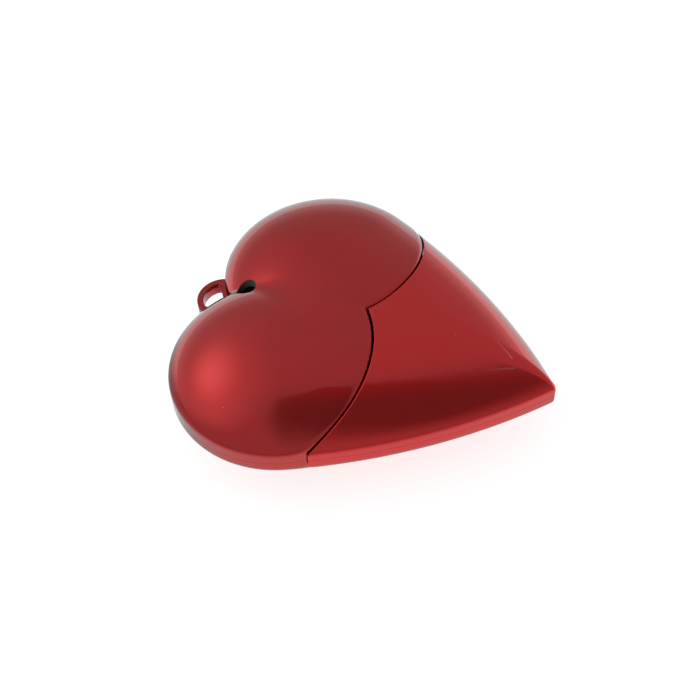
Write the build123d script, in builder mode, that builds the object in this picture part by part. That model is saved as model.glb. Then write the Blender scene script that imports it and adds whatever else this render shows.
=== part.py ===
"""Heart-shaped pocket drive with a pull-off cap and a key loop, sizes in millimetres.

The puffed heart is split by a double-arc seam. The lobed half is the body: two shells hold a key loop,
a circuit board and a flat plug. The pointed half is the cap, which slides off the plug along +X.
The origin is under the middle of the whole part, +X points to the tip and +Z is up.
"""
from build123d import *

import os
from math import atan2, cos, degrees, hypot, radians, sin, sqrt

# Heart in plan, measured from the line through the two lobe centres
LOBE_RADIUS = 15.3
LOBE_SPREAD = 18.8
TIP_REACH = 37.2
SIDE_RADIUS = 92.0
NOTCH_RADIUS = 0.6
TIP_RADIUS = 0.5
TIP_SOFTENING = 0.35

# Heart in side view
BAND_HEIGHT = 2.9
CROWN_HEIGHT = 5.85
CROWN_FLAT_RADIUS = 1.3
RIM_ANGLE = 12.0
RIM_FILLET = 0.6
CROWN_STEPS = 9

# Shells and the seam between body and cap
WALL = 1.5
SEAM_RADIUS = 17.1
SEAM_SPREAD = 21.2
SEAM_APEX = 13.05
SEAM_GAP = 0.3
SEAM_ARC_END = 75.0
LIP_INSET = 0.7
LIP_HEIGHT = 0.8
LIP_CLEARANCE = 0.1

# Posts that join the upper and lower shells
POST_DIAMETER = 3.2
PEG_DIAMETER = 1.5
PEG_CLEARANCE = 0.1
PEG_ENGAGEMENT = 1.6

# Key loop and the light hole in the notch
LOOP_EYE_RADIUS = 2.95
LOOP_THICKNESS = 0.95
LOOP_HEIGHT = 2.0
LOOP_STAND_OFF = 0.48
LOOP_BAR = 0.58
LOOP_CORNER = 0.4
LOOP_FILLET = 0.15
LOOP_CLEARANCE = 0.05
LIGHT_HOLE_RADIUS = 1.45
LIGHT_HOLE_SETBACK = 3.37
LIGHT_HOLE_FLOOR = 0.5

# Plug
PLUG_WIDTH = 12.0
PLUG_HEIGHT = 4.5
PLUG_LENGTH = 18.75
PLUG_WALL = 0.3
PLUG_CORNER = 0.6
PLUG_INSERTION = 12.0
PLUG_CLEARANCE = 0.1
LATCH_LENGTH = 2.5
LATCH_WIDTH = 2.2
LATCH_SPREAD = 5.0
LATCH_SETBACK = 5.2
LEG_LENGTH = 2.0
LEG_DROP = 0.6
LEG_RISE = 1.2
LEG_CLEARANCE = 0.1
TONGUE_THICKNESS = 2.0
TONGUE_SETBACK = 0.4
TONGUE_CLEARANCE = 0.05
REAR_BLOCK_LENGTH = 6.0
CONTACT_WIDTH = 1.0
CONTACT_THICKNESS = 0.25
CONTACT_TAIL = 2.4
POWER_SPREAD = 7.0
DATA_SPREAD = 2.0
POWER_SETBACK = 1.4
DATA_SETBACK = 2.4

# Circuit board and the parts on it
BOARD_THICKNESS = 1.0
BOARD_MARGIN = 1.6
BOARD_CORNER = 1.0
BOARD_GAP = 0.5
POST_INSET = 3.4
PART_SPACING = 0.6
CONTROLLER_SIZE = 7.0
CONTROLLER_HEIGHT = 1.3
CONTROLLER_LEADS = 12
MEMORY_LENGTH = 18.4
MEMORY_WIDTH = 12.0
MEMORY_HEIGHT = 1.0
MEMORY_LEADS = 24
CHIP_STAND_OFF = 0.1
CHIP_BEVEL = 0.25
DOT_RADIUS = 0.4
DOT_INSET = 1.2
DOT_DEPTH = 0.15
LEAD_PITCH = 0.5
LEAD_WIDTH = 0.22
LEAD_THICKNESS = 0.15
LEAD_FOOT = 0.5
LEAD_REACH = 0.9
CRYSTAL_LENGTH = 11.0
CRYSTAL_WIDTH = 4.6
CRYSTAL_HEIGHT = 3.4
CRYSTAL_FLANGE = 0.4
CRYSTAL_FILLET = 0.5
LED_LENGTH = 2.0
LED_WIDTH = 1.25
LED_BASE_HEIGHT = 0.35
LED_LENS_HEIGHT = 0.55
LED_LENS_MARGIN = 0.15
LED_LENS_TAPER = 10.0
RESISTOR_HEIGHT = 0.45
CAPACITOR_HEIGHT = 0.8
PASSIVE_LENGTH = 1.6
PASSIVE_WIDTH = 0.8
PASSIVE_PITCH = 1.7
PASSIVE_COUNT = 4
TERMINAL_LENGTH = 0.35
TERMINAL_STEP = 0.05

# Cap
CAP_CLEARANCE = 0.2
LINER_WALL = 0.8
LINER_ROOM = 0.3
LINER_CLEARANCE = 0.1
RIB_THICKNESS = 1.2
RIB_SIDE = 1.2
CAP_POST_SPACING = 1.6

# Heights, measured from the plane where the upper and lower shells meet
MID_Z = BAND_HEIGHT / 2 + CROWN_HEIGHT
TONGUE_TOP = TONGUE_THICKNESS + PLUG_WALL - PLUG_HEIGHT / 2
BOARD_TOP = TONGUE_TOP - CONTACT_THICKNESS
BOARD_BOTTOM = BOARD_TOP - BOARD_THICKNESS

# Places in plan, measured from the line through the lobe centres
LOBE_Y = LOBE_SPREAD / 2
CROWN_REACH = LOBE_RADIUS - CROWN_FLAT_RADIUS
NOTCH_EDGE = NOTCH_RADIUS - sqrt((LOBE_RADIUS + NOTCH_RADIUS) ** 2 - LOBE_Y**2)
SEAM_Y = SEAM_SPREAD / 2
SEAM_X = SEAM_APEX - SEAM_RADIUS
LOOP_OUTER_RADIUS = LOOP_EYE_RADIUS + LOOP_THICKNESS
LOOP_X = NOTCH_EDGE - LOOP_STAND_OFF
LIGHT_HOLE_X = NOTCH_EDGE + LIGHT_HOLE_SETBACK
PLUG_TIP = SEAM_APEX + PLUG_INSERTION
PLUG_BACK = PLUG_TIP - PLUG_LENGTH
PLUG_ROOM_WIDTH = PLUG_WIDTH - 2 * PLUG_WALL
PLUG_ROOM_HEIGHT = PLUG_HEIGHT - 2 * PLUG_WALL
TAIL_BACK = PLUG_BACK - CONTACT_TAIL
LEG_X = PLUG_BACK - LEG_LENGTH / 2
LEG_Y = PLUG_WIDTH / 2 - PLUG_WALL / 2
LEG_BACK = PLUG_BACK - LEG_LENGTH - PART_SPACING / 2
BOARD_BACK = LOOP_X + LOOP_OUTER_RADIUS + BOARD_GAP
BOARD_LENGTH = PLUG_BACK - BOARD_BACK
POST_PLACES = (BOARD_BACK + POST_INSET, PLUG_BACK - POST_INSET)
POST_Y = MEMORY_LENGTH / 2 + LEAD_REACH + PART_SPACING / 2 + POST_DIAMETER / 2
BOARD_WIDTH = 2 * (POST_Y + BOARD_MARGIN)
LED_X = BOARD_BACK + (PART_SPACING + LED_WIDTH) / 2
CONTROLLER_X = (LED_X + LED_WIDTH / 2 + TAIL_BACK) / 2
CONTROLLER_SIDE = CONTROLLER_SIZE / 2 + LEAD_REACH + PART_SPACING
MEMORY_X = LEG_BACK - MEMORY_WIDTH / 2
CRYSTAL_X = LEG_BACK - CRYSTAL_LENGTH / 2
CRYSTAL_Y = CONTROLLER_SIDE + CRYSTAL_WIDTH / 2
RESISTOR_Y = -CONTROLLER_SIDE - PASSIVE_LENGTH / 2
CAPACITOR_Y = RESISTOR_Y - PASSIVE_LENGTH - PART_SPACING
LINER_HALF_WIDTH = PLUG_WIDTH / 2 + CAP_CLEARANCE + LINER_WALL
LINER_HALF_HEIGHT = PLUG_HEIGHT / 2 + CAP_CLEARANCE + LINER_WALL
LINER_END = PLUG_TIP + LINER_ROOM + LINER_WALL
CAP_WALL_END = SEAM_APEX + SEAM_GAP + WALL
CRADLE_X = (CAP_WALL_END + LINER_END - RIB_THICKNESS) / 2
STOP_X = LINER_END + LINER_CLEARANCE
CAP_POST_X = CAP_WALL_END + CAP_POST_SPACING + POST_DIAMETER / 2
CAP_POST_Y = LINER_HALF_WIDTH + RIB_SIDE + CAP_POST_SPACING + POST_DIAMETER / 2
TIP_POST_X = STOP_X + RIB_THICKNESS + PART_SPACING + POST_DIAMETER / 2

# Centre of each side arc: tangent inside to its lobe circle, and ending at the tip
TIP_DISTANCE = hypot(TIP_REACH, LOBE_Y)
TIP_SLOPE = atan2(-LOBE_Y, TIP_REACH)
ARC_DROP = SIDE_RADIUS - LOBE_RADIUS
ARC_ALONG = (ARC_DROP**2 - SIDE_RADIUS**2 + TIP_DISTANCE**2) / (2 * TIP_DISTANCE)
ARC_ACROSS = sqrt(ARC_DROP**2 - ARC_ALONG**2)
SIDE_X = ARC_ALONG * cos(TIP_SLOPE) + ARC_ACROSS * sin(TIP_SLOPE)
SIDE_Y = LOBE_Y + ARC_ALONG * sin(TIP_SLOPE) - ARC_ACROSS * cos(TIP_SLOPE)


def tip_centre(inset):
    """Place on X of the small arc that rounds the tip of an inset heart."""
    tip_radius = TIP_RADIUS + TIP_SOFTENING * inset
    return SIDE_X + sqrt((SIDE_RADIUS - inset - tip_radius) ** 2 - SIDE_Y**2)


TIP_END = tip_centre(0) + TIP_RADIUS
LOBE_X = -(TIP_END + LOOP_X - LOOP_OUTER_RADIUS) / 2
PLAN_REACH = TIP_REACH + LOBE_RADIUS + LOBE_Y + SEAM_RADIUS
BODY = -1
CAP = 1


def level(height):
    """Level plane at a height over the meeting plane, with its origin on the lobe line."""
    return Plane((LOBE_X, 0, MID_Z + height))


def station(place):
    """Upright plane across X at a place measured from the lobe line, drawn as (y, z)."""
    return Plane((LOBE_X + place, 0, MID_Z), x_dir=(0, 1, 0), z_dir=(1, 0, 0))


def heart(inset):
    """Face of the heart outline, moved inward by inset, with a notch that opens out on the way."""
    lobe = LOBE_RADIUS - inset
    notch = NOTCH_RADIUS + LOBE_Y * (inset / CROWN_REACH) ** 2
    notch_x = -sqrt((lobe + notch) ** 2 - LOBE_Y**2)
    side = SIDE_RADIUS - inset
    tip = TIP_RADIUS + TIP_SOFTENING * inset
    tip_x = tip_centre(inset)
    notch_angle = degrees(atan2(LOBE_Y, -notch_x))
    side_angle = degrees(atan2(LOBE_Y - SIDE_Y, -SIDE_X))
    tip_angle = degrees(atan2(-SIDE_Y, tip_x - SIDE_X))
    lobe_sweep = side_angle - 180 - notch_angle
    with BuildSketch() as face:
        with BuildLine():
            CenterArc((notch_x, 0), notch, -notch_angle, 2 * notch_angle)
            CenterArc((0, LOBE_Y), lobe, 180 + notch_angle, lobe_sweep)
            CenterArc((SIDE_X, SIDE_Y), side, side_angle, tip_angle - side_angle)
            CenterArc((tip_x, 0), tip, tip_angle, -2 * tip_angle)
            CenterArc((SIDE_X, -SIDE_Y), side, -tip_angle, tip_angle - side_angle)
            CenterArc((0, -LOBE_Y), lobe, -side_angle, lobe_sweep)
        make_face()
    return face.sketch


def plan(inset, part_side):
    """Face of the body's or the cap's plan, moved inward from its outline and its seam."""
    radius = SEAM_RADIUS + part_side * inset
    if part_side == CAP:
        radius += SEAM_GAP
    cusp = (SEAM_X + sqrt(radius**2 - SEAM_Y**2), 0)
    end_x = SEAM_X + radius * cos(radians(SEAM_ARC_END))
    end_y = SEAM_Y + radius * sin(radians(SEAM_ARC_END))
    far_x = part_side * PLAN_REACH
    with BuildSketch() as face:
        add(heart(inset))
        with BuildLine():
            for turn in (1, -1):
                ThreePointArc(cusp, (SEAM_X + radius, turn * SEAM_Y), (end_x, turn * end_y))
                Line((end_x, turn * end_y), (end_x, turn * PLAN_REACH))
                Line((end_x, turn * PLAN_REACH), (far_x, turn * PLAN_REACH))
            Line((far_x, PLAN_REACH), (far_x, -PLAN_REACH))
        make_face(mode=Mode.INTERSECT)
    return face.sketch


def crown(inset):
    """Upper half of the heart, moved inward by inset: an upright band under a puffed crown."""
    start = radians(RIM_ANGLE)
    with BuildPart() as half:
        with BuildSketch(level(0)):
            add(heart(inset))
        extrude(amount=BAND_HEIGHT / 2)
        for step in range(CROWN_STEPS + 1):
            angle = start + (radians(90) - start) * step / CROWN_STEPS
            section_inset = inset + (CROWN_REACH - inset) * (1 - cos(angle) / cos(start))
            rise = (CROWN_HEIGHT - inset) * (sin(angle) - sin(start)) / (1 - sin(start))
            with BuildSketch(level(BAND_HEIGHT / 2 + rise)):
                add(heart(section_inset))
        loft()
        if inset == 0:
            rim_z = MID_Z + BAND_HEIGHT / 2
            fillet(half.edges().filter_by_position(Axis.Z, rim_z, rim_z), RIM_FILLET)
    return half.part


OUTER_CROWN = crown(0)
MIDDLE_CROWN = crown(WALL / 2)
INNER_CROWN = crown(WALL)


def below(part):
    """Mirror image of an upper piece, under the meeting plane."""
    return mirror(part, about=level(0), mode=Mode.PRIVATE)


def both_halves(part):
    """An upper half and its mirror image as one solid."""
    with BuildPart() as whole:
        add(part)
        mirror(about=level(0))
    return whole.part


WALL_MIDDLE = both_halves(MIDDLE_CROWN)


def cavity(part_side):
    """Upper half of the hollow inside the body or the cap."""
    face = plan(WALL, part_side)
    with BuildPart() as hollow:
        with BuildSketch(level(0)):
            add(face)
        extrude(amount=MID_Z)
        add(INNER_CROWN, mode=Mode.INTERSECT)
    return hollow.part


def blank(part_side):
    """Upper shell of the body or the cap before its posts, ribs and cuts."""
    face = plan(0, part_side)
    hollow = cavity(part_side)
    with BuildPart() as shell:
        with BuildSketch(level(0)):
            add(face)
        extrude(amount=MID_Z)
        add(OUTER_CROWN, mode=Mode.INTERSECT)
        add(hollow, mode=Mode.SUBTRACT)
    return shell.part


def lip(inset, height, part_side):
    """Thin wall inside the meeting plane that lines up the two shells."""
    face = plan(inset, part_side)
    hollow = cavity(part_side)
    with BuildPart() as ring:
        with BuildSketch(level(0)):
            add(face)
        extrude(amount=height)
        add(hollow, mode=Mode.SUBTRACT)
    return ring.part


def discs(radius, points):
    """Faces of round discs about the given points."""
    with BuildSketch() as face:
        with Locations(*points):
            Circle(radius)
    return face.sketch


def posts(points, foot, reach):
    """Round posts that start at height foot and run into the shell above or below."""
    faces = discs(POST_DIAMETER / 2, points)
    with BuildPart() as group:
        with BuildSketch(level(foot)):
            add(faces)
        extrude(amount=reach)
        add(WALL_MIDDLE, mode=Mode.INTERSECT)
    return group.part


def pegs(points, foot, clearance):
    """Pegs that rise from the lower posts, or with a clearance the sockets they enter."""
    faces = discs(PEG_DIAMETER / 2 + clearance, points)
    with BuildPart() as group:
        with BuildSketch(level(foot)):
            add(faces)
        extrude(amount=PEG_ENGAGEMENT - foot + clearance)
    return group.part


def bar(half_width, half_height, corner, start, end):
    """Straight bar of rounded rectangular section along X."""
    with BuildPart() as solid:
        with BuildSketch(station(start)):
            RectangleRounded(2 * half_width, 2 * half_height, corner)
        extrude(amount=end - start)
    return solid.part


def rib(place, half_width):
    """Upright plate across the upper half of the cap, from place on towards the tip."""
    with BuildPart() as plate:
        with BuildSketch(station(place)):
            Rectangle(2 * half_width, MID_Z, align=(Align.CENTER, Align.MIN))
        extrude(amount=RIB_THICKNESS)
        add(MIDDLE_CROWN, mode=Mode.INTERSECT)
    return plate.part


# What the two body shells share
BODY_POSTS = [(place, turn * POST_Y) for place in POST_PLACES for turn in (1, -1)]
BODY_BLANK = blank(BODY)
BODY_LIP = lip(LIP_INSET, LIP_HEIGHT, BODY)
BODY_REBATE = lip(LIP_INSET - LIP_CLEARANCE, LIP_HEIGHT + LIP_CLEARANCE, BODY)
BODY_TOP_POSTS = posts(BODY_POSTS, BOARD_TOP, MID_Z - BOARD_TOP)
BODY_BOTTOM_POSTS = posts(BODY_POSTS, BOARD_BOTTOM, -MID_Z)
BODY_SOCKETS = pegs(BODY_POSTS, BOARD_TOP, PEG_CLEARANCE)
BODY_PEGS = pegs(BODY_POSTS, BOARD_BOTTOM, 0)
SLOT_HALF_WIDTH = PLUG_WIDTH / 2 + PLUG_CLEARANCE
SLOT_HALF_HEIGHT = PLUG_HEIGHT / 2 + PLUG_CLEARANCE
PLUG_SLOT = bar(SLOT_HALF_WIDTH, SLOT_HALF_HEIGHT, PLUG_CORNER, PLUG_BACK, PLUG_TIP)

with BuildPart() as loop_groove:
    with BuildSketch(level(-LOOP_HEIGHT / 2 - LOOP_CLEARANCE)):
        with Locations((LOOP_X, 0)):
            Circle(LOOP_OUTER_RADIUS + LOOP_CLEARANCE)
    extrude(amount=LOOP_HEIGHT + 2 * LOOP_CLEARANCE)

# Upper body shell, with the light hole in the notch
with BuildPart() as body_top_shell:
    add(BODY_BLANK)
    add(BODY_REBATE, mode=Mode.SUBTRACT)
    add(BODY_TOP_POSTS)
    add(BODY_SOCKETS, mode=Mode.SUBTRACT)
    add(PLUG_SLOT, mode=Mode.SUBTRACT)
    add(loop_groove.part, mode=Mode.SUBTRACT)
    with BuildSketch(level(LOOP_HEIGHT / 2 + LIGHT_HOLE_FLOOR)):
        with Locations((LIGHT_HOLE_X, 0)):
            Circle(LIGHT_HOLE_RADIUS)
    extrude(amount=MID_Z, mode=Mode.SUBTRACT)
body_top_shell.part.label = "body_top_shell"

# Lower body shell, with the pegs that carry the circuit board
with BuildPart() as body_bottom_shell:
    add(below(BODY_BLANK))
    add(BODY_LIP)
    add(BODY_BOTTOM_POSTS)
    add(BODY_PEGS)
    add(PLUG_SLOT, mode=Mode.SUBTRACT)
    add(loop_groove.part, mode=Mode.SUBTRACT)
body_bottom_shell.part.label = "body_bottom_shell"

# Eye of the key loop: round, and closed towards the heart by a bar that follows the two lobes
with BuildSketch() as loop_eye:
    with Locations((LOOP_X, 0)):
        Circle(LOOP_EYE_RADIUS)
    with Locations((0, LOBE_Y), (0, -LOBE_Y)):
        Circle(LOBE_RADIUS + LOOP_BAR, mode=Mode.SUBTRACT)
    fillet(loop_eye.vertices(), LOOP_CORNER)

# Key loop, a flat disc with an eye, held between the body shells at the notch
with BuildPart() as key_loop:
    with BuildSketch(level(-LOOP_HEIGHT / 2)):
        with Locations((LOOP_X, 0)):
            Circle(LOOP_OUTER_RADIUS)
        add(loop_eye.sketch, mode=Mode.SUBTRACT)
    extrude(amount=LOOP_HEIGHT)
    fillet(key_loop.edges().filter_by(GeomType.CIRCLE), LOOP_FILLET)
key_loop.part.label = "key_loop"

# Circuit board, with peg holes and slots for the legs of the plug
BOARD_HOLES = discs(PEG_DIAMETER / 2 + PEG_CLEARANCE, BODY_POSTS)
LEG_POINTS = [(LEG_X, turn * LEG_Y) for turn in (1, -1)]
with BuildPart() as circuit_board:
    with BuildSketch(level(BOARD_BOTTOM)):
        with Locations((BOARD_BACK + BOARD_LENGTH / 2, 0)):
            RectangleRounded(BOARD_LENGTH, BOARD_WIDTH, BOARD_CORNER)
        add(BOARD_HOLES, mode=Mode.SUBTRACT)
        with Locations(*LEG_POINTS):
            Rectangle(LEG_LENGTH + 2 * LEG_CLEARANCE, PLUG_WALL + 2 * LEG_CLEARANCE, mode=Mode.SUBTRACT)
    extrude(amount=BOARD_THICKNESS)
circuit_board.part.label = "circuit_board"

# Plug shell of thin sheet, with latch windows and two legs that go through the board
PLUG_OUTSIDE = bar(PLUG_WIDTH / 2, PLUG_HEIGHT / 2, PLUG_CORNER, PLUG_BACK, PLUG_TIP)
PLUG_INSIDE = bar(PLUG_ROOM_WIDTH / 2, PLUG_ROOM_HEIGHT / 2, PLUG_CORNER - PLUG_WALL, PLUG_BACK, PLUG_TIP)
with BuildPart() as plug_shell:
    add(PLUG_OUTSIDE)
    add(PLUG_INSIDE, mode=Mode.SUBTRACT)
    with BuildSketch(level(-PLUG_HEIGHT)):
        with Locations((PLUG_TIP - LATCH_SETBACK, 0)):
            with GridLocations(LATCH_LENGTH, LATCH_SPREAD, 1, 2):
                Rectangle(LATCH_LENGTH, LATCH_WIDTH)
    extrude(amount=2 * PLUG_HEIGHT, mode=Mode.SUBTRACT)
    with BuildSketch(level(BOARD_BOTTOM - LEG_DROP)):
        with Locations(*LEG_POINTS):
            Rectangle(LEG_LENGTH, PLUG_WALL)
    extrude(amount=LEG_DROP + BOARD_THICKNESS + LEG_RISE)
plug_shell.part.label = "plug_shell"


def contact(offset, end):
    """Straight contact strip on the tongue, from its tail on the board to its end."""
    with BuildPart() as strip:
        with BuildSketch(level(BOARD_TOP)):
            with Locations(((TAIL_BACK + end) / 2, offset)):
                Rectangle(end - TAIL_BACK, CONTACT_WIDTH)
        extrude(amount=CONTACT_THICKNESS)
    return strip


# Four contacts, the outer pair longer than the data pair
contact_power = contact(-POWER_SPREAD / 2, PLUG_TIP - POWER_SETBACK)
contact_power.part.label = "contact_power"
contact_data_minus = contact(-DATA_SPREAD / 2, PLUG_TIP - DATA_SETBACK)
contact_data_minus.part.label = "contact_data_minus"
contact_data_plus = contact(DATA_SPREAD / 2, PLUG_TIP - DATA_SETBACK)
contact_data_plus.part.label = "contact_data_plus"
contact_ground = contact(POWER_SPREAD / 2, PLUG_TIP - POWER_SETBACK)
contact_ground.part.label = "contact_ground"
CONTACTS = [contact_power, contact_data_minus, contact_data_plus, contact_ground]

# Plug insulator: a tongue in the lower half of the plug and a block that closes its rear
TONGUE_HALF_WIDTH = PLUG_ROOM_WIDTH / 2 - TONGUE_CLEARANCE
TONGUE_HALF_HEIGHT = PLUG_ROOM_HEIGHT / 2
TONGUE_END = PLUG_TIP - TONGUE_SETBACK
TONGUE = bar(TONGUE_HALF_WIDTH, TONGUE_HALF_HEIGHT, PLUG_CORNER - PLUG_WALL, PLUG_BACK, TONGUE_END)
with BuildPart() as plug_insulator:
    add(TONGUE)
    with BuildSketch(level(TONGUE_TOP)):
        with Locations((PLUG_BACK + REAR_BLOCK_LENGTH, 0)):
            Rectangle(PLUG_LENGTH, PLUG_WIDTH, align=(Align.MIN, Align.CENTER))
    extrude(amount=PLUG_HEIGHT, mode=Mode.SUBTRACT)
    for strip in CONTACTS:
        add(strip.part, mode=Mode.SUBTRACT)
plug_insulator.part.label = "plug_insulator"


def under_board(part):
    """Mirror image of a piece on the board's upper face, on its lower face."""
    return mirror(part, about=level(BOARD_TOP - BOARD_THICKNESS / 2), mode=Mode.PRIVATE)


def chip(length, width, height, middle_x):
    """Moulded chip body with drawn-in upper edges and a dot beside its first lead."""
    top = BOARD_TOP + CHIP_STAND_OFF + height
    with BuildPart() as package:
        with BuildSketch(level(BOARD_TOP + CHIP_STAND_OFF)):
            with Locations((middle_x, 0)):
                Rectangle(length, width)
        extrude(amount=height)
        chamfer(package.faces().sort_by(Axis.Z)[-1].edges(), CHIP_BEVEL)
        with BuildSketch(level(top)):
            with Locations((middle_x - length / 2 + DOT_INSET, DOT_INSET - width / 2)):
                Circle(DOT_RADIUS)
        extrude(amount=-DOT_DEPTH, mode=Mode.SUBTRACT)
    return package.part


def lead_row(count, middle_x, edge, rise):
    """Row of bent leads along X, from a chip edge at y = edge down to the board."""
    knee = edge + LEAD_REACH - LEAD_FOOT
    toe = edge + LEAD_REACH
    shoulder = BOARD_TOP + rise
    first = middle_x - ((count - 1) * LEAD_PITCH + LEAD_WIDTH) / 2
    with BuildPart() as row:
        for index in range(count):
            with BuildSketch(station(first + index * LEAD_PITCH)):
                with BuildLine():
                    Polyline(
                        (edge, shoulder + LEAD_THICKNESS),
                        (knee, shoulder + LEAD_THICKNESS),
                        (knee, BOARD_TOP + LEAD_THICKNESS),
                        (toe, BOARD_TOP + LEAD_THICKNESS),
                        (toe, BOARD_TOP),
                        (knee - LEAD_THICKNESS, BOARD_TOP),
                        (knee - LEAD_THICKNESS, shoulder),
                        (edge, shoulder),
                        close=True,
                    )
                make_face()
            extrude(amount=LEAD_WIDTH)
    return row.part


# Controller, a square chip with leads on all four sides
CONTROLLER_BODY = chip(CONTROLLER_SIZE, CONTROLLER_SIZE, CONTROLLER_HEIGHT, CONTROLLER_X)
CONTROLLER_ROW = lead_row(CONTROLLER_LEADS, CONTROLLER_X, CONTROLLER_SIZE / 2, CONTROLLER_HEIGHT / 2)
CONTROLLER_AXIS = Axis((LOBE_X + CONTROLLER_X, 0, 0), (0, 0, 1))
with BuildPart() as controller_chip:
    add(CONTROLLER_BODY)
controller_chip.part.label = "controller_chip"

with BuildPart() as controller_leads:
    for quarter in range(4):
        add(CONTROLLER_ROW.rotate(CONTROLLER_AXIS, 90 * quarter))
controller_leads.part.label = "controller_leads"

# Memory, a long flat chip under the board with leads at its two ends
MEMORY_BODY = chip(MEMORY_WIDTH, MEMORY_LENGTH, MEMORY_HEIGHT, MEMORY_X)
MEMORY_ROW = lead_row(MEMORY_LEADS, MEMORY_X, MEMORY_LENGTH / 2, MEMORY_HEIGHT / 2)
with BuildPart() as memory_chip:
    add(under_board(MEMORY_BODY))
memory_chip.part.label = "memory_chip"

with BuildPart() as memory_leads:
    add(under_board(MEMORY_ROW))
    mirror(about=Plane.XZ)
memory_leads.part.label = "memory_leads"

# Crystal in an oval can on a flange
with BuildPart() as crystal:
    with BuildSketch(level(BOARD_TOP)):
        with Locations((CRYSTAL_X, CRYSTAL_Y)):
            SlotOverall(CRYSTAL_LENGTH, CRYSTAL_WIDTH)
    extrude(amount=CRYSTAL_FLANGE)
    with BuildSketch(level(BOARD_TOP + CRYSTAL_FLANGE)):
        with Locations((CRYSTAL_X, CRYSTAL_Y)):
            SlotOverall(CRYSTAL_LENGTH - CRYSTAL_FLANGE, CRYSTAL_WIDTH - CRYSTAL_FLANGE)
    extrude(amount=CRYSTAL_HEIGHT - CRYSTAL_FLANGE)
    fillet(crystal.faces().sort_by(Axis.Z)[-1].edges(), CRYSTAL_FILLET)
crystal.part.label = "crystal"

# Status light on the board's rear edge, beside the light hole
with BuildPart() as status_light:
    with BuildSketch(level(BOARD_TOP)):
        with Locations((LED_X, 0)):
            Rectangle(LED_WIDTH, LED_LENGTH)
    extrude(amount=LED_BASE_HEIGHT)
    with BuildSketch(level(BOARD_TOP + LED_BASE_HEIGHT)):
        with Locations((LED_X, 0)):
            Rectangle(LED_WIDTH - LED_LENS_MARGIN, LED_LENGTH - 4 * LED_LENS_MARGIN)
    extrude(amount=LED_LENS_HEIGHT, taper=LED_LENS_TAPER)
status_light.part.label = "status_light"


def passives(height, middle_y):
    """Row of small two-ended parts with a raised terminal at each end."""
    toe = PASSIVE_LENGTH / 2
    step = toe - TERMINAL_LENGTH
    low = BOARD_TOP + height - TERMINAL_STEP
    high = BOARD_TOP + height
    first = CONTROLLER_X - ((PASSIVE_COUNT - 1) * PASSIVE_PITCH + PASSIVE_WIDTH) / 2
    with BuildPart() as row:
        for index in range(PASSIVE_COUNT):
            with BuildSketch(station(first + index * PASSIVE_PITCH)):
                with BuildLine():
                    Polyline(
                        (middle_y - toe, BOARD_TOP),
                        (middle_y + toe, BOARD_TOP),
                        (middle_y + toe, high),
                        (middle_y + step, high),
                        (middle_y + step, low),
                        (middle_y - step, low),
                        (middle_y - step, high),
                        (middle_y - toe, high),
                        close=True,
                    )
                make_face()
            extrude(amount=PASSIVE_WIDTH)
    return row


# Resistors and capacitors beside the controller
resistors = passives(RESISTOR_HEIGHT, RESISTOR_Y)
resistors.part.label = "resistors"
capacitors = passives(CAPACITOR_HEIGHT, CAPACITOR_Y)
capacitors.part.label = "capacitors"

# What the two cap shells share
CAP_POSTS = [(CAP_POST_X, CAP_POST_Y), (CAP_POST_X, -CAP_POST_Y), (TIP_POST_X, 0)]
CAP_BLANK = blank(CAP)
CAP_LIP = lip(LIP_INSET, LIP_HEIGHT, CAP)
CAP_REBATE = lip(LIP_INSET - LIP_CLEARANCE, LIP_HEIGHT + LIP_CLEARANCE, CAP)
CAP_TOP_POSTS = posts(CAP_POSTS, 0, MID_Z)
CAP_BOTTOM_POSTS = posts(CAP_POSTS, 0, -MID_Z)
CAP_SOCKETS = pegs(CAP_POSTS, 0, PEG_CLEARANCE)
CAP_PEGS = pegs(CAP_POSTS, 0, 0)
CRADLE_RIB = rib(CRADLE_X, LINER_HALF_WIDTH + RIB_SIDE)
STOP_RIB = rib(STOP_X, LINER_HALF_WIDTH)
CAP_SLOT_HALF_WIDTH = PLUG_WIDTH / 2 + CAP_CLEARANCE
CAP_SLOT_HALF_HEIGHT = PLUG_HEIGHT / 2 + CAP_CLEARANCE
LINER_ROOM_END = PLUG_TIP + LINER_ROOM
CAP_SLOT = bar(CAP_SLOT_HALF_WIDTH, CAP_SLOT_HALF_HEIGHT, PLUG_CORNER, PLUG_BACK, LINER_ROOM_END)
LINER_CORNER = PLUG_CORNER + LINER_WALL
LINER_BLOCK = bar(LINER_HALF_WIDTH, LINER_HALF_HEIGHT, LINER_CORNER, PLUG_BACK, LINER_END)
LINER_SEAT = bar(
    LINER_HALF_WIDTH + LINER_CLEARANCE,
    LINER_HALF_HEIGHT + LINER_CLEARANCE,
    LINER_CORNER,
    CAP_WALL_END,
    STOP_X,
)

# Upper cap shell
with BuildPart() as cap_top_shell:
    add(CAP_BLANK)
    add(CAP_REBATE, mode=Mode.SUBTRACT)
    add(CAP_TOP_POSTS)
    add(CAP_SOCKETS, mode=Mode.SUBTRACT)
    add(CRADLE_RIB)
    add(STOP_RIB)
    add(LINER_SEAT, mode=Mode.SUBTRACT)
    add(CAP_SLOT, mode=Mode.SUBTRACT)
cap_top_shell.part.label = "cap_top_shell"

# Lower cap shell
with BuildPart() as cap_bottom_shell:
    add(below(CAP_BLANK))
    add(CAP_LIP)
    add(CAP_BOTTOM_POSTS)
    add(CAP_PEGS)
    add(below(CRADLE_RIB))
    add(below(STOP_RIB))
    add(LINER_SEAT, mode=Mode.SUBTRACT)
    add(CAP_SLOT, mode=Mode.SUBTRACT)
cap_bottom_shell.part.label = "cap_bottom_shell"

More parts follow.
